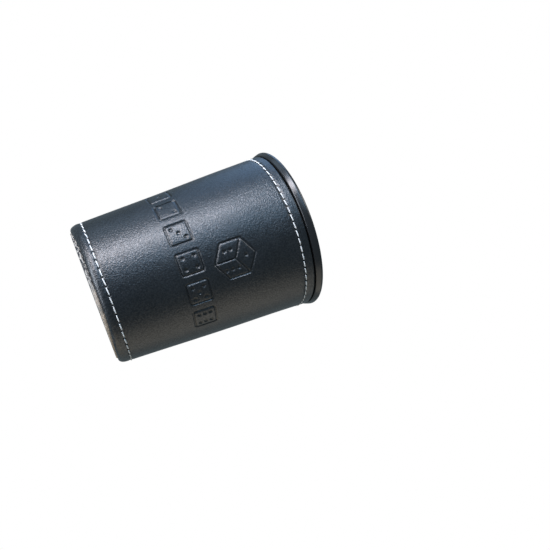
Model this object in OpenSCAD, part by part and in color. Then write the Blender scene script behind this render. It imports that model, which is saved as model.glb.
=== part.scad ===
// A dice cup: a moulded tumbler in a sewn leather sleeve, lined with velvet.
// The cup stands on its base: +Z runs up its axis to the mouth, and the origin is the centre of the underside.
// All sizes are in millimetres.

/* [Cup] */
// Height over all, from the underside to the top of the lip
cup_h = 93; // [80:1:110]
// Outer radius of the leather at the base stitching
base_r = 31.5; // [30:0.5:34]
// Outer radius of the leather at the mouth stitching
mouth_r = 36; // [33:0.5:38]
// Outer radius of the rolled lip
lip_r = 37.4; // [36.4:0.2:42]

/* [Layers] */
// Thickness of the leather sleeve
leather_t = 1.3; // [1:0.1:1.6]
// Thickness of the board that the leather is sewn to
backing_t = 1; // [0.8:0.1:1.5]
// Thickness of the tumbler's wall and floor
cup_t = 1.9; // [1.5:0.1:2.5]
// Thickness of the velvet lining
lining_t = 0.8; // [0.5:0.1:1.2]
// Thickness of the pad under the floor lining
pad_t = 2; // [1:0.5:4]

/* [Base] */
// Thickness of the leather base disc
disc_t = 1.4; // [1:0.1:2]
// Radius of the leather base disc
disc_r = 28.5; // [26:0.1:28.8]
// Thickness of the base board
board_t = 1.8; // [1.6:0.1:2.4]
// Bend radius of the sleeve's lower edge
turn_r = 2.6; // [2.2:0.1:3]

/* [Stitching] */
// Height of the base stitching above the underside
base_stitch_z = 5.5; // [5:0.5:9]
// Depth of the mouth stitching below the leather's top edge
mouth_stitch_drop = 4.1; // [3:0.1:6]
// Stitches in the base row
base_stitches = 51; // [40:1:56]
// Stitches in the mouth row
mouth_stitches = 65; // [50:1:70]
// Stitches in the back seam
seam_stitches = 19; // [12:1:20]
// Thickness of the sewing thread
thread_d = 0.8; // [0.6:0.1:1]

/* [Seam] */
// Width of the lap where the sleeve's two ends meet
lap_w = 9; // [7:0.5:12]
// How far the lap stands out, after skiving
lap_t = 0.5; // [0.3:0.1:0.7]

/* [Embossing] */
// Height of the band's centre above the underside
band_z = 39; // [36:1:42]
// Side of one embossed die face in the band
face_s = 10; // [7:0.5:11]
// Height of the emblem's centre above the underside
emblem_z = 57; // [56:1:64]
// Width of the emblem across its corners
emblem_d = 18.5; // [14:0.5:19]
// Depth of the embossed lines
emboss_t = 0.3; // [0.2:0.05:0.4]

/* [Hidden] */
$fn = 120;

// Heights of the layers, from the underside up.
lip_h = 3.4;                               // from the lip's underside to its top
groove_h = 0.5;                            // dark gap between the leather and the lip
leather_top_z = cup_h - lip_h - groove_h;
mouth_stitch_z = leather_top_z - mouth_stitch_drop;
cup_floor_z = disc_t + board_t;
pad_z = cup_floor_z + cup_t;
lining_z = pad_z + pad_t;
lip_z = cup_h - lip_h;                     // the lip's underside, where the lining ends

// The wall leans out by the taper, which every layer shares.
taper = (mouth_r - base_r) / (mouth_stitch_z - base_stitch_z);
lean = atan(taper);
backing_d = leather_t;                     // depth of each layer's outer face behind the leather's
cup_d = backing_d + backing_t;
lining_d = cup_d + cup_t;
function wall_r(z, depth) = base_r + taper * (z - base_stitch_z) - depth;

// The sleeve's lower edge bends in about this centre, and its hem ends between the disc and the tumbler.
turn_z = disc_t + turn_r;
turn_x = wall_r(turn_z - turn_r * sin(lean), 0) - turn_r * cos(lean);
hem_r = disc_r - 2;                        // radius of the hem's cut edge
backing_z = turn_z + 0.2;
tiny = 0.01;                               // how far joined shapes run into each other

// Stitches lie in a groove and stand a little proud of the leather.
stitch_sink = 0.45;
groove_w = 1.3;
stitch_share = 0.76;                       // length of a stitch, as a share of its pitch
seam_edge_gap = 2.6;                       // from the lap's cut edge to the seam's stitches
bobbin_d = 0.5;

// The embossing faces -Y, and the seam is opposite it.
front = -90;
band_faces = 6;
band_pitch = 13;                           // from one face to the next, along the leather
band_turn = -11;                           // degrees from the front to the band's middle
emblem_turn = 7.5;                         // degrees from the front to the emblem
line_w = 0.8;
pip_d = 1.7;
reach = 2;                                 // how far a cutter stands out of the leather

// A slanted layer of the wall, as a profile to be turned about the axis.
module layer_profile(z0, z1, depth, thickness) {
    polygon([[wall_r(z0, depth + thickness), z0], [wall_r(z0, depth), z0],
             [wall_r(z1, depth), z1], [wall_r(z1, depth + thickness), z1]]);
}

module disc(z, r, thickness) {
    translate([0, 0, z]) cylinder(r = r, h = thickness);
}

module sleeve_profile() {
    layer_profile(turn_z - turn_r * sin(lean), leather_top_z, 0, leather_t);
    translate([turn_x, turn_z])
        intersection() {
            difference() {
                circle(r = turn_r);
                circle(r = turn_r - leather_t);
            }
            translate([0, -turn_r]) square(turn_r);
        }
    translate([hem_r, disc_t]) square([turn_x - hem_r + tiny, leather_t]);
}

// A thin band that stands out at the back, where one end of the sleeve laps the other.
module seam_lap() {
    lap_angle = lap_w / wall_r(cup_h / 2, 0) * 180 / PI;
    z0 = turn_z + 1;
    rotate([0, 0, -front - lap_angle / 2])
        rotate_extrude(angle = lap_angle)
            layer_profile(z0, leather_top_z, -lap_t, lap_t + 0.3);
}

// A cutter for the groove that a row of stitches lies in.
module stitch_groove(z) {
    rotate_extrude()
        layer_profile(z - groove_w / 2, z + groove_w / 2, -reach, reach + stitch_sink);
}

// Places its children on the leather: x runs round the cup, y up it, and z out of it.
module on_leather(z, turn, depth) {
    rotate([0, 0, front + turn])
        translate([wall_r(z, depth), 0, z])
            rotate([90 + lean, 0, 90])
                children();
}

module outlined_square(side) {
    difference() {
        square(side, center = true);
        square(side - 2 * line_w, center = true);
    }
}

// The pips of one die face, as the usual sets of nine places.
module pips(count, spread) {
    corners = [[-1, -1], [1, 1], [-1, 1], [1, -1]];
    sides = [[-1, 0], [1, 0]];
    corner_count = count - count % 2 - (count == 6 ? 2 : 0);
    for (i = [0 : 1 : corner_count - 1])
        translate(corners[i] * spread) circle(d = pip_d, $fn = 24);
    if (count % 2 == 1)
        circle(d = pip_d, $fn = 24);
    if (count == 6)
        for (place = sides)
            translate(place * spread) circle(d = pip_d, $fn = 24);
}

// A cutter that sinks a flat pattern into the leather to one depth, whose middle is height up at z.
module emboss(z, turn, height) {
    intersection() {
        on_leather(z, turn, reach)
            linear_extrude(2 * reach) children();
        rotate_extrude()
            layer_profile(z - height / 2, z + height / 2, -reach, reach + emboss_t);
    }
}

module band_cutter() {
    step = band_pitch / wall_r(band_z, 0) * 180 / PI;
    for (i = [0 : band_faces - 1])
        emboss(band_z, band_turn + (i - (band_faces - 1) / 2) * step, 1.2 * face_s) {
            outlined_square(face_s);
            pips(i + 1, face_s * 0.24);
        }
}

// The emblem is a die seen corner on, with one pip on its top face, and two and three on its sides.
module emblem_lines() {
    difference() {
        rotate(30) circle(d = emblem_d, $fn = 6);
        rotate(30) circle(d = emblem_d - 2 * line_w / cos(30), $fn = 6);
    }
    for (a = [30, 150, 270])
        rotate(a)
            translate([0, -line_w / 2]) square([emblem_d / 2 - line_w, line_w]);
}

module emblem_pips() {
    side_x = emblem_d / 4 * cos(30);
    side_y = emblem_d / 8;
    gap = emblem_d / 7;
    translate([0, emblem_d / 4]) circle(d = pip_d, $fn = 24);
    for (i = [-0.5, 0.5])
        translate([-side_x, i * gap - side_y]) circle(d = pip_d, $fn = 24);
    for (i = [-1, 0, 1])
        translate([side_x, i * gap - side_y]) circle(d = pip_d, $fn = 24);
}

module emblem_cutter() {
    emboss(emblem_z, emblem_turn, 1.2 * emblem_d) {
        emblem_lines();
        emblem_pips();
    }
}

// One stitch: a short round thread that follows the leather.
module stitch(length) {
    rotate([0, 90, 0])
        cylinder(d = thread_d, h = length, center = true, $fn = 16);
}

module stitch_row(z, count) {
    pitch = 2 * PI * wall_r(z, 0) / count;
    for (i = [0 : count - 1])
        on_leather(z, i * 360 / count, stitch_sink - thread_d / 2 - 0.05)
            stitch(pitch * stitch_share);
}

module bobbin_ring(z) {
    rotate_extrude()
        translate([wall_r(z, cup_d - bobbin_d / 2), z]) circle(d = bobbin_d, $fn = 24);
}

// Leaves room for the two bobbin threads behind the backing.
module bobbin_grooves() {
    for (z = [base_stitch_z, mouth_stitch_z])
        rotate_extrude()
            translate([wall_r(z, cup_d - bobbin_d / 2), z])
                square([bobbin_d + 0.1, bobbin_d + 0.1], center = true);
}

module leather_wrap() {
    color("#23282f")
        difference() {
            union() {
                rotate_extrude() sleeve_profile();
                seam_lap();
            }
            stitch_groove(base_stitch_z);
            stitch_groove(mouth_stitch_z);
            band_cutter();
            emblem_cutter();
        }
}

module mouth_stitching() {
    color("white") stitch_row(mouth_stitch_z, mouth_stitches);
}

module base_stitching() {
    color("white") stitch_row(base_stitch_z, base_stitches);
}

// A straight row beside the lap's cut edge, between the two stitched rows.
module seam_stitching() {
    z0 = base_stitch_z + 3;
    z1 = mouth_stitch_z - 3;
    pitch = (z1 - z0) / seam_stitches;
    turn = 180 + (lap_w / 2 - seam_edge_gap) / wall_r(cup_h / 2, 0) * 180 / PI;
    color("white")
        for (i = [0 : seam_stitches - 1])
            on_leather(z0 + (i + 0.5) * pitch, turn, -lap_t - thread_d / 2)
                rotate(90) stitch(pitch * stitch_share);
}

module bobbin_threads() {
    color("white") {
        bobbin_ring(base_stitch_z);
        bobbin_ring(mouth_stitch_z);
    }
}

module backing_sleeve() {
    color("#a08c70")
        difference() {
            rotate_extrude() layer_profile(backing_z, leather_top_z, backing_d, backing_t);
            bobbin_grooves();
        }
}

// The lip rolls out over the leather. Its top is a narrow flat ring, on which the cup stands mouth down.
module lip_profile() {
    roll_r = lip_h / 2;
    edge_r = 1;
    inner_r = wall_r(lip_z, lining_d);
    translate([lip_r - roll_r, cup_h - roll_r]) circle(r = roll_r);
    translate([inner_r + edge_r, lip_z]) square([lip_r - roll_r - inner_r - edge_r, lip_h]);
    translate([inner_r, lip_z]) square([edge_r + tiny, lip_h - edge_r]);
    translate([inner_r + edge_r, cup_h - edge_r]) circle(r = edge_r);
}

module inner_cup() {
    color("#1b1c20") {
        rotate_extrude() {
            layer_profile(cup_floor_z, lip_z + tiny, cup_d, cup_t);
            lip_profile();
        }
        disc(cup_floor_z, wall_r(cup_floor_z, lining_d) + tiny, cup_t);
    }
}

module side_lining() {
    color("#2b2b30")
        rotate_extrude() layer_profile(lining_z + lining_t, lip_z, lining_d, lining_t);
}

module floor_lining() {
    color("#2b2b30") disc(lining_z, wall_r(lining_z, lining_d), lining_t);
}

module floor_pad() {
    color("#55555a") disc(pad_z, wall_r(pad_z, lining_d), pad_t);
}

module base_board() {
    color("#a08c70") disc(disc_t, hem_r - 0.2, board_t);
}

module base_disc() {
    edge = 0.5;
    color("#3a3733")
        rotate_extrude() {
            translate([0, edge]) square([disc_r, disc_t - edge]);
            square([disc_r - edge, disc_t]);
            intersection() {
                translate([disc_r - edge, edge]) circle(r = edge);
                square([disc_r, disc_t]);
            }
        }
}

leather_wrap();
mouth_stitching();
base_stitching();
seam_stitching();
bobbin_threads();
backing_sleeve();
inner_cup();
side_lining();
floor_lining();
floor_pad();
base_board();
base_disc();
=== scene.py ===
import math

import bmesh
import bpy
import numpy as np
from mathutils import Matrix, Vector


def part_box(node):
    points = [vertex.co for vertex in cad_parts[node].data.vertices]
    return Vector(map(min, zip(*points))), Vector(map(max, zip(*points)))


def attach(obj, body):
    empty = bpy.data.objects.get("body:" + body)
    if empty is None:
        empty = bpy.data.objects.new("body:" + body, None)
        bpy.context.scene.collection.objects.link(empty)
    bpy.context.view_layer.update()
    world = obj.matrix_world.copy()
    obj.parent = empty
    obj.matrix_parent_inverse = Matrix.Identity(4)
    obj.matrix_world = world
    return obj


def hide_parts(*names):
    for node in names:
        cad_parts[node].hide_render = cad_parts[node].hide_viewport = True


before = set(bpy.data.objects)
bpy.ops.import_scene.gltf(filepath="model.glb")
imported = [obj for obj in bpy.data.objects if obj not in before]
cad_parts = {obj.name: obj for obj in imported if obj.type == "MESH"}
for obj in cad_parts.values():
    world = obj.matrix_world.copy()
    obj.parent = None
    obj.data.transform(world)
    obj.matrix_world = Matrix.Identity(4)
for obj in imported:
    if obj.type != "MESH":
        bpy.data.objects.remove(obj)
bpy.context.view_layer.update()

# Shapes are worked out in millimetres and turned into metres when a mesh is made.
MM = 0.001
BODY = "root"
SEED = 7

# Angles run round the cup from its front, which faces -Y, towards +X. The back seam is at half a turn.
TURN = 2 * math.pi
HALF_TURN = math.pi


def box_mm(node):
    """A CAD node's lowest and highest corner, in millimetres."""
    lo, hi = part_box(node)
    return np.array(lo) / MM, np.array(hi) / MM


wrap_lo, wrap_hi = box_mm("leather_wrap")
backing_hi = box_mm("backing_sleeve")[1]
cup_lo, cup_hi = box_mm("inner_cup")
lining_lo, lining_hi = box_mm("side_lining")
floor_lo, floor_hi = box_mm("floor_lining")
pad_lo = box_mm("floor_pad")[0]
disc_lo, disc_hi = box_mm("base_disc")
base_row_lo, base_row_hi = box_mm("base_stitching")
mouth_row_lo, mouth_row_hi = box_mm("mouth_stitching")
seam_row_lo, seam_row_hi = box_mm("seam_stitching")

# The wall leans out by the same taper in every layer.
TAPER = (lining_hi[0] - floor_hi[0]) / (lining_hi[2] - floor_lo[2])
LEAN = math.atan(TAPER)
BASE_ROW_Z = (base_row_lo[2] + base_row_hi[2]) / 2
MOUTH_ROW_Z = (mouth_row_lo[2] + mouth_row_hi[2]) / 2
THREAD_R = 0.64 * (base_row_hi[2] - base_row_lo[2]) / 2
LEATHER_TOP = wrap_hi[2]
MEAN_R = 34

# Each layer's thickness, and how far the cup and its lining lie behind the leather's outer face.
LEATHER_T = wrap_hi[0] - backing_hi[0]
CUP_T = pad_lo[2] - cup_lo[2]
LINING_T = floor_hi[2] - floor_lo[2]
LINING_DEPTH = wrap_hi[0] + TAPER * (lining_hi[2] - LEATHER_TOP) - lining_hi[0]
CUP_DEPTH = LINING_DEPTH - CUP_T


def wall_r(z):
    """Radius of the leather's outer face at a height."""
    return wrap_hi[0] + TAPER * (z - LEATHER_TOP)


# The sleeve's lower edge bends in, and its hem runs in a little over the disc.
BEND_R = 2.6
BEND_Z = wrap_lo[2] + BEND_R
BEND_START_Z = BEND_Z - BEND_R * math.sin(LEAN)
BEND_X = wall_r(BEND_START_Z) - BEND_R * math.cos(LEAN)
HEM_R = disc_hi[0] - 2

# The bend sags past its hem, except in a stretch round the front, which lies a little to one side.
EDGE_SAG = 1.0
TAUT_MIDDLE = math.radians(-9)
SAG_START = math.radians(20)
SAG_FULL = math.radians(72)

# How uneven the leather lies: long waves all round, and short puckers near the base.
WAVE_HEIGHT = 0.07
PUCKER_HEIGHT = 0.03
PUCKER_START_Z = 6
PUCKER_FULL_Z = 3

# Stitching. A stitch takes up STITCH_SHARE of its pitch. The thread pulls a valley into the leather.
BASE_STITCHES = 51
MOUTH_STITCHES = 65
SEAM_STITCHES = 19
STITCH_SHARE = 0.82
STITCH_SLANT = math.radians(5)
STITCH_SWAY = math.radians(1.5)
THREAD_PLIES = 3
THREAD_TWIST_LENGTH = 2.4
VALLEY_DEPTH = 0.2
VALLEY_W = 0.7
HOLE_DEPTH = 0.4
HOLE_W = 0.42

# The tumbler's lip: its outer face slants between a tight lower corner and a fuller upper one.
NECK_R = 0.4
LIP_LOW_R = 0.5
LIP_LOW_INSET = 1.07  # from the rim in to the middle of the lower corner
LIP_TOP_R = 1.2
LIP_IN_R = 1
LIP_SLANT = 0.3

# Embossing: six die faces in a band round the front, and a die seen corner on above them.
LINE_W = 0.7
PIP_R = 0.85
EMBOSS_DEPTH = 0.45
PUFF = 0.1
FACE_SIDE = 10
FACE_CORNER_R = 1.3
FACE_PITCH = 13
PIP_SPREAD = 0.24 * FACE_SIDE
BAND_Z = 39
BAND_TURN = math.radians(-11)
EMBLEM_Z = 57
EMBLEM_R = 9.25
EMBLEM_TURN = math.radians(7.5)
FACE_PIPS = {
    1: [(0, 0)],
    2: [(-1, -1), (1, 1)],
    3: [(-1, -1), (0, 0), (1, 1)],
    4: [(-1, -1), (1, 1), (-1, 1), (1, -1)],
    5: [(-1, -1), (1, 1), (-1, 1), (1, -1), (0, 0)],
    6: [(-1, -1), (1, 1), (-1, 1), (1, -1), (-1, 0), (1, 0)],
}
FACE_COUNT = len(FACE_PIPS)

# The lap of the back seam: the outer end ramps up over the inner one and stops at a cut edge.
LAP_HALF_W = 4.5
LAP_RISE = 0.5
LAP_RAMP = 3.5
LAP_CUT_W = 0.1
SEAM_VALLEY_DEPTH = 0.18
SEAM_VALLEY_W = 0.9
SEAM_ROW_AWAY = LAP_HALF_W - 2.6  # from the seam's middle to its stitches, round the cup

# The leather's rounded top edge.
EDGE_R = 0.5

# Spacings of the sleeve's rows and columns: the fine one is for embossing and stitches.
FINE_GAP = 0.28
COARSE_GAP = 0.7
PLAIN_ROW_GAP = 1.9
INNER_FACE_Z = (70, 45, 20, 8)  # the inner face is plain, so a few rows do


# ---------------------------------------------------------------- heights on the leather


def smooth(start, end, x):
    """Goes smoothly from 0 at start to 1 at end, whichever of them is higher."""
    t = np.clip((x - start) / (end - start), 0, 1)
    return t * t * (3 - 2 * t)


def bell(x, width):
    """Falls smoothly from 1 in the middle to 0 on both sides."""
    return np.exp(-((x / width) ** 2))


def ripples(theta, z, waves, low_turns, high_turns, seed):
    """A random sum of waves that closes round the cup, from about -1 to 1."""
    rng = np.random.default_rng(seed)
    total = 0
    for _ in range(waves):
        turns = rng.integers(low_turns, high_turns + 1)
        climb = rng.uniform(-1, 1) * turns / MEAN_R
        total = total + np.cos(turns * theta + climb * z + rng.uniform(0, TURN))
    return total / math.sqrt(waves)


def groove(distance):
    """Depth of a pressed line, from the distance to its middle."""
    return -EMBOSS_DEPTH * (1 - smooth(0.2 * LINE_W, 0.72 * LINE_W, distance))


def pip(x, y):
    """Depth of a pressed round spot, from the place beside its middle."""
    return -EMBOSS_DEPTH * (1 - smooth(0.65 * PIP_R, 1.1 * PIP_R, np.hypot(x, y)))


def segment_distance(x, y, end):
    """Distance to the line from the middle to end."""
    ex, ey = end
    t = np.clip((x * ex + y * ey) / (ex * ex + ey * ey), 0, 1)
    return np.hypot(x - t * ex, y - t * ey)


def swelling(inside):
    """The rise of the leather within an outline, from the distance inside it."""
    return PUFF * smooth(0.2, 1.6, inside)


def die_face(x, y, pips):
    """A square pressed outline with its pips. Inside it the leather swells a little."""
    qx = np.abs(x) - (FACE_SIDE / 2 - FACE_CORNER_R)
    qy = np.abs(y) - (FACE_SIDE / 2 - FACE_CORNER_R)
    outside = np.hypot(np.maximum(qx, 0), np.maximum(qy, 0))
    edge = outside + np.minimum(np.maximum(qx, qy), 0) - FACE_CORNER_R + LINE_W / 2
    height = groove(np.abs(edge))
    for px, py in FACE_PIPS[pips]:
        height = np.minimum(height, pip(x - px * PIP_SPREAD, y - py * PIP_SPREAD))
    return height + swelling(-edge)


def corner_die(x, y):
    """A hexagon with three edges that meet in its middle, and pips on its three faces."""
    fold = np.abs(np.mod(np.arctan2(y, x) + math.pi / 6, math.pi / 3) - math.pi / 6)
    inner = EMBLEM_R * math.cos(math.pi / 6)
    edge = np.hypot(x, y) * np.cos(fold) - inner + LINE_W / 2
    height = groove(np.abs(edge))
    reach = EMBLEM_R - LINE_W
    for degrees in (30, 150, 270):
        end = (reach * math.cos(math.radians(degrees)), reach * math.sin(math.radians(degrees)))
        height = np.minimum(height, groove(segment_distance(x, y, end)))
    side_x = EMBLEM_R / 2 * math.cos(math.radians(30))
    side_y = EMBLEM_R / 4
    gap = EMBLEM_R * 2 / 7
    spots = [(0, EMBLEM_R / 2)]
    spots += [(-side_x, i * gap - side_y) for i in (-0.5, 0.5)]
    spots += [(side_x, i * gap - side_y) for i in (-1, 0, 1)]
    for px, py in spots:
        height = np.minimum(height, pip(x - px, y - py))
    return height + swelling(-edge)


def embossing(theta, z):
    """The band of die faces, one to six, and the emblem above it."""
    height = np.zeros(np.broadcast(theta, z).shape)
    step = FACE_PITCH / wall_r(BAND_Z)
    for i in range(FACE_COUNT):
        middle = BAND_TURN + (i - (FACE_COUNT - 1) / 2) * step
        height += die_face((theta - middle) * wall_r(BAND_Z), z - BAND_Z, i + 1)
    return height + corner_die((theta - EMBLEM_TURN) * wall_r(EMBLEM_Z), z - EMBLEM_Z)


def stitched_row(theta, z, row_z, count):
    """The valley that a row pulls into the leather, with a needle hole between each two stitches."""
    pitch = TURN * wall_r(row_z) / count
    along = (np.mod(theta * count / TURN, 1) - 0.5) * pitch
    across = z - row_z
    valley = -VALLEY_DEPTH * bell(across, VALLEY_W)
    hole = -HOLE_DEPTH * bell(np.hypot(along, across), HOLE_W)
    return valley + hole


def lap(theta, z):
    """The step of the back seam, and the valley that its stitches pull into it."""
    away = (np.mod(theta, TURN) - HALF_TURN) * wall_r(z)
    rise = smooth(-LAP_HALF_W, -LAP_HALF_W + LAP_RAMP, away)
    fall = smooth(LAP_HALF_W - LAP_CUT_W, LAP_HALF_W, away)
    row = -SEAM_VALLEY_DEPTH * bell(away - SEAM_ROW_AWAY, SEAM_VALLEY_W)
    return LAP_RISE * rise * (1 - fall) + row * (1 - fall)


def leather_height(theta, z):
    """How far the leather's outer face stands out from the plain cone."""
    wave = WAVE_HEIGHT * ripples(theta, z, 9, 2, 7, SEED)
    near_base = smooth(PUCKER_START_Z, PUCKER_FULL_Z, z)
    pucker = PUCKER_HEIGHT * ripples(theta, 3 * z, 12, 16, 44, SEED + 1) * near_base
    rows = stitched_row(theta, z, BASE_ROW_Z, BASE_STITCHES)
    rows = rows + stitched_row(theta, z, MOUTH_ROW_Z, MOUTH_STITCHES)
    return wave + pucker + rows + embossing(theta, z) + lap(theta, z)


def edge_sag(theta):
    """How far the sleeve's lower edge bulges down past its hem."""
    away = np.abs(np.mod(theta - TAUT_MIDDLE + HALF_TURN, TURN) - HALF_TURN)
    return EDGE_SAG * smooth(SAG_START, SAG_FULL, away)


# ---------------------------------------------------------------- meshes


def steps(*stretches):
    """Places along a line, from (start, end, spacing) stretches that follow each other."""
    runs = [np.linspace(a, b, max(1, round((b - a) / gap)), endpoint=False) for a, b, gap in stretches]
    return np.concatenate(runs)


def arc(centre, radius, start, end, count):
    """Points on an arc, whose angles are counted from +X towards +Z."""
    angles = np.linspace(start, end, count)
    return [(centre[0] + radius * math.cos(a), centre[1] + radius * math.sin(a)) for a in angles]


def ring_mesh(name, points, row_slots=None, close_rows=True):
    """A smooth mesh from rings of points in millimetres: points[row, column]."""
    rows, columns = points.shape[:2]
    i = np.arange(rows if close_rows else rows - 1)[:, None]
    j = np.arange(columns)[None, :]
    above = (i + 1) % rows
    beside = (j + 1) % columns
    corners = [i * columns + j, i * columns + beside, above * columns + beside, above * columns + j]
    faces = np.stack(np.broadcast_arrays(*corners), -1).reshape(-1, 4)
    mesh = bpy.data.meshes.new(name)
    mesh.from_pydata((points.reshape(-1, 3) * MM).tolist(), [], faces.tolist())
    mesh.polygons.foreach_set("use_smooth", np.ones(len(faces), bool))
    if row_slots is not None:
        slots = np.repeat(np.asarray(row_slots)[: len(i)], columns)
        mesh.polygons.foreach_set("material_index", slots.astype(np.int32))
    mesh.set_sharp_from_angle(angle=math.radians(50))
    mesh.update()
    return add_object(name, mesh)


def add_object(name, mesh):
    """Puts a mesh in the scene."""
    obj = bpy.data.objects.new(name, mesh)
    bpy.context.scene.collection.objects.link(obj)
    return obj


def turned(profile, columns, wobble=None):
    """Rings of points from an outline of (radius, height), turned about the axis."""
    theta = np.linspace(0, TURN, columns, endpoint=False)[None, :]
    r = np.array([p[0] for p in profile])[:, None] + 0 * theta
    z = np.array([p[1] for p in profile])[:, None] + 0 * theta
    if wobble is not None:
        dr, dz = wobble(theta, r, z)
        r, z = r + dr, z + dz
    return np.stack([r * np.sin(theta), -r * np.cos(theta), z], -1)


def stands_for(obj, node):
    """Makes a piece ride on the cup in place of a CAD node."""
    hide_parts(node)
    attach(obj, BODY)


def leather_columns():
    """Angles of the sleeve's columns: close together where the embossing is, and at the lap's cut edge."""
    r = wall_r(BAND_Z)
    reach = FACE_COUNT / 2 * FACE_PITCH + 1
    first = BAND_TURN * r - reach
    last = BAND_TURN * r + reach
    half = HALF_TURN * r
    lap_start = half - LAP_HALF_W
    cut = half + LAP_HALF_W
    places = steps((first, last, FINE_GAP), (last, lap_start, COARSE_GAP), (lap_start, cut - 0.2, 0.5),
                   (cut - 0.2, cut + 0.1, LAP_CUT_W / 2), (cut + 0.1, first + 2 * half, COARSE_GAP))
    return places / r


def leather_rows():
    """The sleeve's outline: radius, height, normal, share of the surface's height, and material slot."""
    rows = []

    def add(points, centre, share, slot):
        for r, z in points:
            away = math.hypot(r - centre[0], z - centre[1])
            rows.append((r, z, (r - centre[0]) / away, (z - centre[1]) / away, share, slot))

    bend = (BEND_X, BEND_Z)
    rows.append((HEM_R, wrap_lo[2], 0, -1, 0, 0))
    add(arc(bend, BEND_R, -math.pi / 2, -LEAN, 13), bend, 1, 0)
    places = [BEND_START_Z + 0.4]
    fine = ((BASE_ROW_Z, 1.3), (BAND_Z, 0.65 * FACE_SIDE), (EMBLEM_Z, EMBLEM_R + 1), (MOUTH_ROW_Z, 1.3))
    for middle, half in fine:
        places += [middle - half, middle + half]
    places += [LEATHER_TOP - EDGE_R]
    gaps = (0.45, FINE_GAP, PLAIN_ROW_GAP, FINE_GAP, 0.9, FINE_GAP, PLAIN_ROW_GAP, FINE_GAP, 0.5)
    for z in steps(*zip(places, places[1:], gaps)):
        rows.append((wall_r(z), z, math.cos(LEAN), -math.sin(LEAN), 1, 0))
    top_r = wall_r(LEATHER_TOP)
    outer = (top_r - EDGE_R, LEATHER_TOP - EDGE_R)
    add(arc(outer, EDGE_R, 0, math.pi / 2, 6), outer, 1, 0)
    inner = (top_r - LEATHER_T + EDGE_R / 2, LEATHER_TOP - EDGE_R / 2)
    add(arc(inner, EDGE_R / 2, math.pi / 2, math.pi, 4), inner, 0, 0)
    for z in INNER_FACE_Z:
        rows.append((wall_r(z) - LEATHER_T, z, 1, 0, 0, 1))
    add(arc(bend, BEND_R - LEATHER_T, -LEAN, -math.pi / 2, 7), bend, 0, 1)
    rows.append((HEM_R, wrap_lo[2] + LEATHER_T, 0, 1, 0, 1))
    return np.array(rows)


def make_leather_wrap():
    """The sleeve. Its unevenness fades out round the bend, and the sag takes over there."""
    rows = leather_rows()
    r, z, nr, nz, share = [rows[:, k][:, None] for k in range(5)]
    theta = leather_columns()[None, :]
    share = share * smooth(wrap_lo[2], BEND_Z, z)
    height = leather_height(theta, np.clip(z, BEND_START_Z - 1.5, LEATHER_TOP)) * share
    r = r + nr * height
    z = z + nz * height
    z = z - edge_sag(theta) * smooth(BEND_X, BEND_X + 0.7, r) * smooth(BEND_Z, wrap_lo[2], z)
    points = np.stack([r * np.sin(theta), -r * np.cos(theta), z], -1)
    wrap = ring_mesh("leather_sleeve", points, rows[:, 5])
    stands_for(wrap, "leather_wrap")
    return wrap


def thread_path(length, share):
    """Along and up for points on one stitch, which rises out of one needle hole and goes down the next."""
    along = (share - 0.5) * length
    up = THREAD_R * (1.15 * np.sin(np.pi * share) ** 0.35 - 0.95)
    return along, up


def stitch_points(theta0, z0, length, direction, slant):
    """Rings of one twisted thread, laid on the leather from hole to hole."""
    share = np.linspace(0.02, 0.98, 17)
    along, up = thread_path(length, share)
    turned_along = np.cos(direction + slant) * along
    climbed = np.sin(direction + slant) * along
    theta = theta0 + turned_along / wall_r(z0)
    z = z0 + climbed
    flat = leather_height(np.array([theta0]), np.array([z0]))[0]
    r = wall_r(z) + flat + up + THREAD_R * 0.75
    path = np.stack([r * np.sin(theta), -r * np.cos(theta), z], -1)
    ahead = np.gradient(path, axis=0)
    ahead /= np.linalg.norm(ahead, axis=1, keepdims=True)
    out = np.stack([np.sin(theta), -np.cos(theta), 0 * theta], -1)
    side = np.cross(ahead, out)
    side /= np.linalg.norm(side, axis=1, keepdims=True)
    out = np.cross(side, ahead)
    angle = np.linspace(0, TURN, 18, endpoint=False)[None, :]
    twist = share[:, None] * length / THREAD_TWIST_LENGTH * TURN
    lobe = np.abs(np.cos(THREAD_PLIES / 2 * (angle - twist)))
    slim = 0.55 + 0.45 * np.sin(np.pi * share[:, None]) ** 0.4
    radius = THREAD_R * (0.78 + 0.22 * lobe) * slim
    return (path[:, None, :] + (radius * np.cos(angle))[..., None] * side[:, None, :]
            + (radius * np.sin(angle))[..., None] * out[:, None, :])


def thread_mesh(name, stitches):
    """One mesh of closed threads."""
    points, faces = [], []
    for rings in stitches:
        rows, sides = rings.shape[:2]
        first = sum(len(p) for p in points)
        points.append(rings.reshape(-1, 3))
        for i in range(rows - 1):
            for j in range(sides):
                k = (j + 1) % sides
                faces.append([first + i * sides + j, first + i * sides + k,
                              first + (i + 1) * sides + k, first + (i + 1) * sides + j])
        faces.append([first + j for j in reversed(range(sides))])
        faces.append([first + (rows - 1) * sides + j for j in range(sides)])
    mesh = bpy.data.meshes.new(name)
    mesh.from_pydata((np.concatenate(points) * MM).tolist(), [], faces)
    mesh.polygons.foreach_set("use_smooth", np.ones(len(faces), bool))
    mesh.update()
    return add_object(name, mesh)


def make_row(name, node, row_z, count):
    """A row of stitches round the cup."""
    rng = np.random.default_rng(SEED + count)
    length = TURN * wall_r(row_z) / count * STITCH_SHARE
    stitches = []
    for i in range(count):
        slant = STITCH_SLANT + rng.normal(0, STITCH_SWAY)
        stitches.append(stitch_points(i * TURN / count, row_z, length, 0, slant))
    row = thread_mesh(name, stitches)
    stands_for(row, node)
    return row


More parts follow.
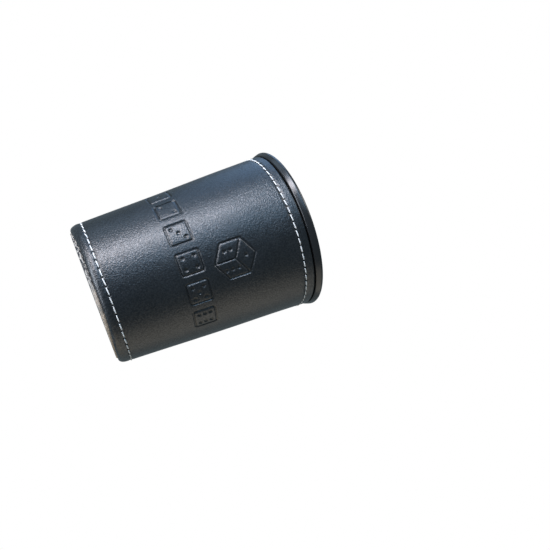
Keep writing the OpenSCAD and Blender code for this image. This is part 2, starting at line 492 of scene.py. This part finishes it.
def make_seam_row():
    """The stitches up the back seam."""
    rng = np.random.default_rng(SEED)
    low, high = seam_row_lo[2], seam_row_hi[2]
    pitch = (high - low) / (SEAM_STITCHES - 1 + STITCH_SHARE)
    stitches = []
    for i in range(SEAM_STITCHES):
        z = low + pitch * (i + STITCH_SHARE / 2)
        theta = HALF_TURN + SEAM_ROW_AWAY / wall_r(z)
        slant = rng.normal(0, STITCH_SWAY)
        stitches.append(stitch_points(theta, z, pitch * STITCH_SHARE, math.pi / 2, slant))
    row = thread_mesh("seam_threads", stitches)
    stands_for(row, "seam_stitching")
    return row


def make_cup():
    """The moulded tumbler: a thin wall and floor, and the lip that rolls out over the leather."""
    lip_r, top = cup_hi[0], cup_hi[2]
    lip_z = lining_hi[2]
    inner_r = lining_hi[0]
    low_z = cup_lo[2]
    floor_z = pad_lo[2]
    low_r = wall_r(low_z) - CUP_DEPTH
    neck_r = wall_r(lip_z) - CUP_DEPTH
    foot = 0.4
    profile = [(0, low_z), (low_r * 0.5, low_z), (low_r - foot, low_z), (low_r, low_z + foot)]
    profile += [(neck_r, lip_z - NECK_R)]
    profile += arc((neck_r + NECK_R, lip_z - NECK_R), NECK_R, math.pi, math.pi / 2, 5)
    profile += arc((lip_r - LIP_LOW_INSET, lip_z + LIP_LOW_R), LIP_LOW_R, -math.pi / 2, -LIP_SLANT, 9)
    profile += arc((lip_r - LIP_TOP_R, top - LIP_TOP_R), LIP_TOP_R, -LIP_SLANT, math.pi / 2, 16)
    profile += arc((inner_r + LIP_IN_R, top - LIP_IN_R), LIP_IN_R, math.pi / 2, math.pi, 10)
    profile += [(inner_r, lip_z + 0.5), (inner_r, lip_z)]
    profile += [(wall_r(floor_z) - LINING_DEPTH, floor_z + 0.3), (low_r * 0.8, floor_z), (0, floor_z)]
    cup = ring_mesh("tumbler", turned(profile, 240), close_rows=False)
    weld_axis(cup)
    stands_for(cup, "inner_cup")
    return cup


def weld_axis(obj):
    """Joins the points that a turned outline leaves on the axis, and faces the whole mesh outwards."""
    bm = bmesh.new()
    bm.from_mesh(obj.data)
    bmesh.ops.remove_doubles(bm, verts=bm.verts, dist=0.001 * MM)
    bmesh.ops.recalc_face_normals(bm, faces=bm.faces)
    bm.to_mesh(obj.data)
    bm.free()


def make_side_lining():
    """The velvet on the wall, with a soft rolled top edge and a slightly uneven nap."""
    top, low = lining_hi[2], lining_lo[2]
    face = LINING_DEPTH + LINING_T

    def nap(theta, r, z):
        return 0.09 * ripples(theta, 2 * z, 10, 3, 24, SEED + 3) * (r < wall_r(z) - LINING_DEPTH - 0.3), 0

    profile = [(wall_r(low) - LINING_DEPTH, low), (wall_r(top) - LINING_DEPTH - 0.02, top - 0.4)]
    profile += arc((wall_r(top) - LINING_DEPTH - 0.4, top - 0.4), 0.4, 0.3, math.pi, 8)
    profile += [(wall_r(z) - face, z) for z in np.linspace(top - 0.6, low, 34)]
    lining = ring_mesh("velvet_wall", turned(profile, 180, nap))
    weld_axis(lining)
    stands_for(lining, "side_lining")
    return lining


def make_floor_lining():
    """The velvet on the floor, which the pad under it pushes up a little in the middle."""
    low, top, r = floor_lo[2], floor_hi[2], floor_hi[0]

    def swell(theta, radius, z):
        out = radius / r
        rise = 0.05 * ripples(theta, radius, 8, 2, 6, SEED + 4) * out - 0.35 * out ** 6
        return 0, rise * (z > low + 0.3)

    profile = [(0, low), (r * 0.6, low), (r - 0.1, low), (r, low + 0.1)]
    profile += [(r - 0.05, top - 0.05)] + [(x * r, top) for x in np.linspace(0.98, 0, 18)]
    lining = ring_mesh("velvet_floor", turned(profile, 96, swell), close_rows=False)
    weld_axis(lining)
    stands_for(lining, "floor_lining")
    return lining


def make_base_disc():
    """The disc under the cup: leather above and below, with a raw and slightly uneven edge."""
    r, low, top = disc_hi[0], disc_lo[2], disc_hi[2]

    def fray(theta, radius, z):
        at_edge = smooth(r - 0.6, r - 0.05, radius)
        fibres = 0.05 * ripples(theta, 20 * z, 16, 30, 150, SEED + 5)
        waves = 0.06 * ripples(theta, z, 6, 3, 9, SEED + 6)
        return at_edge * (fibres + waves - 0.1), 0

    profile = [(0, top), (r * 0.5, top), (r - 0.5, top), (r - 0.12, top - 0.04)]
    profile += [(r, top - 0.2), (r, (low + top) / 2), (r, low + 0.4)]
    profile += arc((r - 0.3, low + 0.3), 0.3, 0, -math.pi / 2, 6)
    profile += [(x * r, low) for x in (0.97, 0.9, 0.7, 0.4, 0)]
    slots = [0] * 2 + [1] * 8 + [0] * (len(profile) - 10)
    disc = ring_mesh("base_leather", turned(profile, 480, fray), slots, close_rows=False)
    weld_axis(disc)
    stands_for(disc, "base_disc")
    return disc


# ---------------------------------------------------------------- materials


class Shader:
    """A node material with one Principled shader, and short ways to add to it.

    Texture sizes and bump depths are in millimetres, and places in metres.
    """

    def __init__(self, name, **sockets):
        self.material = bpy.data.materials.new(name)
        self.material.use_nodes = True
        self.tree = self.material.node_tree
        self.principled = self.tree.nodes["Principled BSDF"]
        self.coordinates = self.add("ShaderNodeTexCoord").outputs["Object"]
        for socket, value in sockets.items():
            self.principled.inputs[socket.replace("_", " ")].default_value = value

    def add(self, kind, inputs=None, **settings):
        node = self.tree.nodes.new(kind)
        for key, value in settings.items():
            setattr(node, key, value)
        for key, value in (inputs or {}).items():
            self.put(node.inputs[key], value)
        return node

    def put(self, socket, value):
        if isinstance(value, bpy.types.NodeSocket):
            self.tree.links.new(value, socket)
        else:
            socket.default_value = value

    def noise(self, size_mm, detail=3.0, roughness=0.5, vector=None):
        inputs = {"Vector": vector or self.coordinates, "Scale": 1 / (size_mm * MM), "Detail": detail,
                  "Roughness": roughness}
        return self.add("ShaderNodeTexNoise", inputs).outputs["Fac"]

    def cells(self, size_mm, smoothness):
        inputs = {"Vector": self.coordinates, "Scale": 1 / (size_mm * MM), "Smoothness": smoothness}
        return self.add("ShaderNodeTexVoronoi", inputs, feature="SMOOTH_F1").outputs["Distance"]

    def remap(self, value, low, high, to_low, to_high, smooth_steps=False):
        kind = "SMOOTHSTEP" if smooth_steps else "LINEAR"
        inputs = {"Value": value, "From Min": low, "From Max": high, "To Min": to_low, "To Max": to_high}
        return self.add("ShaderNodeMapRange", inputs, interpolation_type=kind).outputs["Result"]

    def math(self, operation, a, b):
        return self.add("ShaderNodeMath", {0: a, 1: b}, operation=operation).outputs[0]

    def blend(self, share, a, b):
        """A colour that goes from a to b as share goes from 0 to 1."""
        node = self.add("ShaderNodeMix", data_type="RGBA")
        self.put(node.inputs[0], share)
        self.put(node.inputs[6], a)
        self.put(node.inputs[7], b)
        return node.outputs[2]

    def place(self, axis):
        """The distance from the cup's origin along one axis, in metres."""
        return self.add("ShaderNodeSeparateXYZ", {0: self.coordinates}).outputs[axis]

    def squashed(self, times):
        """Coordinates in which a texture is this many times finer up the cup than round it."""
        inputs = {0: self.coordinates, 1: (1.0, 1.0, times)}
        return self.add("ShaderNodeVectorMath", inputs, operation="MULTIPLY").outputs[0]

    def bump(self, height, depth_mm, strength, normal=None):
        inputs = {"Height": height, "Distance": depth_mm * MM, "Strength": strength}
        if normal is not None:
            inputs["Normal"] = normal
        return self.add("ShaderNodeBump", inputs).outputs["Normal"]

    def finish(self, colour, roughness, normal):
        for socket, value in (("Base Color", colour), ("Roughness", roughness), ("Normal", normal)):
            self.put(self.principled.inputs[socket], value)
        return self.material


def leather_material(name, dark, light):
    """Coated leather with a fine pebbled grain, painted shade in the grain's hollows and an uneven gloss,
    scuffed near the base.
    """
    m = Shader(name, Coat_Weight=0.15, Coat_Roughness=0.3)
    pebbles = m.cells(0.64, 0.25)
    pores = m.noise(0.16, 2.0, 0.6)
    patches = m.noise(9.0, 4.0, 0.55)
    pebble = m.remap(pebbles, 0.1, 0.75, 1.0, 0.0, True)
    sand = m.remap(m.noise(0.7, 2.0), 0.3, 0.7, 0.0, 1.0)
    grain = m.math("ADD", m.math("MULTIPLY", pebble, 0.55), m.math("MULTIPLY", sand, 0.45))
    colour = m.blend(m.remap(patches, 0.35, 0.7, 0.0, 1.0), dark, light)
    # Painted shade: the grain's hollows are darkened towards near black.
    hollow_shade = m.remap(grain, 0.0, 0.6, 0.35, 0.0)
    colour = m.blend(hollow_shade, colour, (0.002, 0.002, 0.003, 1.0))
    scuff = m.math("MULTIPLY", m.remap(m.place("Z"), 0.0045, 0.0015, 0.0, 1.0),
                   m.remap(m.noise(1.3, 5.0, 0.7), 0.52, 0.66, 0.0, 0.3))
    colour = m.blend(scuff, colour, (0.09, 0.1, 0.11, 1.0))
    rough = m.math("ADD", m.remap(patches, 0.3, 0.7, 0.29, 0.33), m.remap(grain, 0.0, 0.7, 0.12, 0.0))
    normal = m.bump(grain, 0.09, 1.0, m.bump(pores, 0.02, 0.5))
    gloss = m.remap(m.noise(0.62, 1.0), 0.35, 0.65, 0.38, 0.66)
    m.put(m.principled.inputs["Specular IOR Level"], gloss)
    return m.finish(colour, rough, normal)


def raw_edge_material():
    """The cut side of the leather: pale fibres and dark specks, in painted warm light that turns them
    light brown towards +X, and in painted shade that greys them and thickens the specks towards -X.
    """
    m = Shader("raw_edge", Specular_IOR_Level=0.2)
    flat = m.squashed(3.0)
    fibres = m.noise(0.35, 6.0, 0.7, flat)
    specks = m.noise(1.5, 2.0, 0.6, flat)
    # Painted light: along X the edge goes from grey in painted shade at -X to light brown in painted warm
    # light at +X.
    side = m.math("ADD", m.place("X"), m.remap(m.noise(9.0, 2.0), 0.3, 0.7, -0.006, 0.006))
    warm_light_share = m.remap(side, -0.003, 0.009, 0.0, 1.0)
    painted_side_shade = m.remap(side, -0.012, 0.001, 1.0, 0.15)
    colour = m.blend(warm_light_share, (0.34, 0.315, 0.28, 1.0), (0.7, 0.55, 0.42, 1.0))
    colour = m.blend(m.remap(fibres, 0.3, 0.7, 0.0, 0.4), colour, (0.14, 0.13, 0.12, 1.0))
    # Painted shade: the dark specks thicken towards -X.
    specks_and_side_shade = m.math("MULTIPLY", m.remap(specks, 0.46, 0.54, 0.0, 1.0, True), painted_side_shade)
    colour = m.blend(specks_and_side_shade, colour, (0.02, 0.02, 0.022, 1.0))
    return m.finish(colour, 0.85, m.bump(fibres, 0.12, 0.8))


def thread_material():
    """White twisted polyester with fine fibres and a little dirt in patches."""
    m = Shader("thread", Sheen_Weight=0.25, Sheen_Roughness=0.5, Specular_IOR_Level=0.4)
    fibres = m.noise(0.09, 4.0, 0.7)
    dirt = m.noise(2.2, 3.0)
    colour = m.blend(m.remap(dirt, 0.45, 0.75, 0.0, 0.5), (0.56, 0.56, 0.55, 1.0), (0.42, 0.41, 0.4, 1.0))
    rough = m.remap(fibres, 0.3, 0.7, 0.5, 0.7)
    return m.finish(colour, rough, m.bump(fibres, 0.03, 0.6))


def moulding_material():
    """Satin black plastic with faint rubbing marks."""
    m = Shader("moulding", Specular_IOR_Level=0.5)
    flat = m.squashed(6.0)
    marks = m.noise(1.2, 6.0, 0.75, flat)
    haze = m.noise(12.0, 3.0)
    rubbed = m.remap(marks, 0.55, 0.8, 0.0, 0.4)
    colour = m.blend(rubbed, (0.006, 0.0065, 0.0075, 1.0), (0.02, 0.021, 0.023, 1.0))
    rough = m.math("ADD", m.remap(haze, 0.3, 0.7, 0.22, 0.27), m.remap(marks, 0.5, 0.75, 0.0, 0.1))
    return m.finish(colour, rough, m.bump(marks, 0.01, 0.4))


def velvet_material():
    """Short-pile velvet, whose nap lies in soft patches."""
    m = Shader("velvet", Sheen_Weight=0.8, Sheen_Roughness=0.4, Specular_IOR_Level=0.1)
    m.principled.inputs["Sheen Tint"].default_value = (0.55, 0.57, 0.62, 1.0)
    pile = m.noise(0.22, 3.0, 0.7)
    nap = m.remap(m.noise(7.0, 4.0, 0.6), 0.35, 0.68, 0.0, 1.0)
    colour = m.blend(nap, (0.012, 0.012, 0.015, 1.0), (0.035, 0.035, 0.042, 1.0))
    colour = m.blend(m.remap(pile, 0.35, 0.7, 0.0, 0.5), colour, (0.004, 0.004, 0.005, 1.0))
    return m.finish(colour, 0.95, m.bump(pile, 0.25, 0.9))


def board_material():
    """Grey-brown board with short fibres."""
    m = Shader("board", Specular_IOR_Level=0.2)
    fibres = m.noise(0.6, 6.0, 0.7)
    colour = m.blend(m.remap(fibres, 0.3, 0.7, 0.0, 1.0), (0.3, 0.24, 0.17, 1.0), (0.45, 0.37, 0.27, 1.0))
    return m.finish(colour, 0.9, m.bump(fibres, 0.1, 0.6))


def felt_material():
    """Matted grey felt."""
    m = Shader("felt", Sheen_Weight=0.5, Specular_IOR_Level=0.1)
    fuzz = m.noise(0.5, 5.0, 0.75)
    colour = m.blend(m.remap(fuzz, 0.3, 0.7, 0.0, 1.0), (0.08, 0.08, 0.085, 1.0), (0.16, 0.16, 0.17, 1.0))
    return m.finish(colour, 0.95, m.bump(fuzz, 0.3, 0.8))


def dress(obj, *materials):
    """Gives an object its materials in slot order. The faces keep the slots they name."""
    indices = np.zeros(len(obj.data.polygons), np.int32)
    obj.data.polygons.foreach_get("material_index", indices)
    obj.data.materials.clear()
    for material in materials:
        obj.data.materials.append(material)
    obj.data.polygons.foreach_set("material_index", np.minimum(indices, len(materials) - 1))


# ---------------------------------------------------------------- stage, light and camera

# The camera stands in front of the cup and a little below its base, and is rolled far over, so that
# the cup lies on its side in the picture, its mouth up to the right.
CAMERA_PLACE = (0, -0.27117, -0.00094)
CAMERA_YAW = math.radians(3.98)
CAMERA_PITCH = math.radians(16.69)
CAMERA_ROLL = math.radians(69.48)
CAMERA_LENS = 39.27

# The floor lies a hair below the cup, and glows brighter with distance until it meets the white.
FLOOR_REACH = 2.5
FLOOR_DROP = 0.0001
FLOOR_FADE = (0.25, 1.4)
FLOOR_GLOW = (0.58, 0.93)
WORLD_STRENGTH = 0.28


def make_camera():
    """The camera, from its place and its three turns."""
    forward = Vector((math.sin(CAMERA_YAW) * math.cos(CAMERA_PITCH),
                      math.cos(CAMERA_YAW) * math.cos(CAMERA_PITCH), math.sin(CAMERA_PITCH)))
    level = forward.cross(Vector((0, 0, 1))).normalized()
    climb = level.cross(forward)
    right = math.cos(CAMERA_ROLL) * level + math.sin(CAMERA_ROLL) * climb
    up = math.cos(CAMERA_ROLL) * climb - math.sin(CAMERA_ROLL) * level
    camera = bpy.data.objects.new("camera", bpy.data.cameras.new("camera"))
    bpy.context.scene.collection.objects.link(camera)
    camera.data.lens = CAMERA_LENS
    camera.data.clip_start = 0.01
    camera.matrix_world = (Matrix.Translation(CAMERA_PLACE)
                           @ Matrix((right, up, -forward)).transposed().to_4x4())
    bpy.context.scene.camera = camera


def make_floor():
    """A pale floor for the camera alone, which fades into the white behind it.

    It shows from above only, and shades and mirrors nothing.
    """
    mesh = bpy.data.meshes.new("floor")
    corners = [(x * FLOOR_REACH, y * FLOOR_REACH, 0) for x, y in ((-1, -1), (1, -1), (1, 1), (-1, 1))]
    mesh.from_pydata(corners, [], [(0, 1, 2, 3)])
    floor = add_object("floor", mesh)
    floor.location.z = disc_lo[2] * MM - FLOOR_DROP
    m = Shader("floor", Roughness=0.7, Specular_IOR_Level=0.2)
    m.principled.inputs["Base Color"].default_value = (0.55, 0.55, 0.54, 1.0)
    m.principled.inputs["Emission Color"].default_value = (1.0, 0.99, 0.97, 1.0)
    away = m.add("ShaderNodeVectorMath", {0: m.coordinates}, operation="LENGTH").outputs["Value"]
    glow = m.remap(away, *FLOOR_FADE, *FLOOR_GLOW, True)
    m.put(m.principled.inputs["Emission Strength"], glow)
    backfacing = m.add("ShaderNodeNewGeometry").outputs["Backfacing"]
    clear = m.add("ShaderNodeBsdfTransparent").outputs[0]
    mix = m.add("ShaderNodeMixShader", {0: backfacing, 1: m.principled.outputs[0], 2: clear})
    m.tree.links.new(mix.outputs[0], m.tree.nodes["Material Output"].inputs["Surface"])
    mesh.materials.append(m.material)
    floor.visible_shadow = False
    floor.visible_diffuse = False
    floor.visible_glossy = False


def make_light(name, azimuth, elevation, distance, size, power, colour):
    """A soft box that faces the cup's middle. Lengths are in metres and power in watts.

    Azimuths are degrees from +X towards +Y, and elevations degrees above the level.
    """
    data = bpy.data.lights.new(name, "AREA")
    data.shape = "RECTANGLE"
    data.size, data.size_y = size
    data.energy = power
    data.color = colour
    light = bpy.data.objects.new(name, data)
    bpy.context.scene.collection.objects.link(light)
    a, e = math.radians(azimuth), math.radians(elevation)
    back = Vector((math.cos(a) * math.cos(e), math.sin(a) * math.cos(e), math.sin(e)))
    light.location = Vector((0, 0, cup_hi[2] * MM / 2)) + back * distance
    light.rotation_mode = "QUATERNION"
    light.rotation_quaternion = back.to_track_quat("Z", "Y")
    light.visible_camera = False


def make_world():
    """White for the camera, and a faint cool light on the cup from all round."""
    world = bpy.data.worlds.new("studio")
    bpy.context.scene.world = world
    world.use_nodes = True
    nodes, links = world.node_tree.nodes, world.node_tree.links
    seen = nodes.new("ShaderNodeBackground")
    seen.inputs["Color"].default_value = (1.0, 1.0, 1.0, 1.0)
    around = nodes["Background"]
    around.inputs["Color"].default_value = (0.74, 0.92, 1.0, 1.0)
    around.inputs["Strength"].default_value = WORLD_STRENGTH
    path = nodes.new("ShaderNodeLightPath")
    mix = nodes.new("ShaderNodeMixShader")
    links.new(path.outputs["Is Camera Ray"], mix.inputs[0])
    links.new(around.outputs[0], mix.inputs[1])
    links.new(seen.outputs[0], mix.inputs[2])
    links.new(mix.outputs[0], nodes["World Output"].inputs["Surface"])


# ---------------------------------------------------------------- the scene

make_camera()
make_floor()
make_world()
make_light("key", -145, -11, 0.7, (0.17, 0.55), 6.2, (1.0, 0.95, 1.0))
make_light("low", -146, -62, 0.7, (0.32, 0.7), 7.0, (0.8, 0.88, 1.0))
make_light("halo", -136, 7, 0.75, (0.74, 0.4), 4.0, (0.4, 0.68, 1.0))
make_light("sky", 160, 28, 0.8, (0.7, 0.4), 1.9, (0.34, 0.59, 1.0))
make_light("shoulder", 176, -6, 0.75, (0.36, 0.35), 0.5, (0.55, 0.76, 1.0))
make_light("warm", 0, 3, 0.8, (0.7, 0.55), 1.0, (1.0, 0.9, 0.76))
make_light("top", -135, 62, 0.9, (0.4, 0.4), 3.0, (1.0, 1.0, 1.0))
make_light("glow", 8, -34, 0.75, (0.45, 0.4), 0.65, (1.0, 0.84, 0.6))

leather = leather_material("leather", (0.0014, 0.003, 0.0052, 1.0), (0.0028, 0.005, 0.008, 1.0))
base_leather = leather_material("base_leather", (0.014, 0.014, 0.016, 1.0), (0.026, 0.026, 0.028, 1.0))
raw_edge = raw_edge_material()
thread = thread_material()
velvet = velvet_material()
board = board_material()

dress(make_leather_wrap(), leather, raw_edge)
dress(make_row("base_threads", "base_stitching", BASE_ROW_Z, BASE_STITCHES), thread)
dress(make_row("mouth_threads", "mouth_stitching", MOUTH_ROW_Z, MOUTH_STITCHES), thread)
dress(make_seam_row(), thread)
dress(make_cup(), moulding_material())
dress(make_side_lining(), velvet)
dress(make_floor_lining(), velvet)
dress(make_base_disc(), base_leather, raw_edge)
for node, material in (("backing_sleeve", board), ("base_board", board), ("floor_pad", felt_material()),
                       ("bobbin_threads", thread)):
    dress(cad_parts[node], material)

bpy.context.scene.view_settings.view_transform = "Standard"
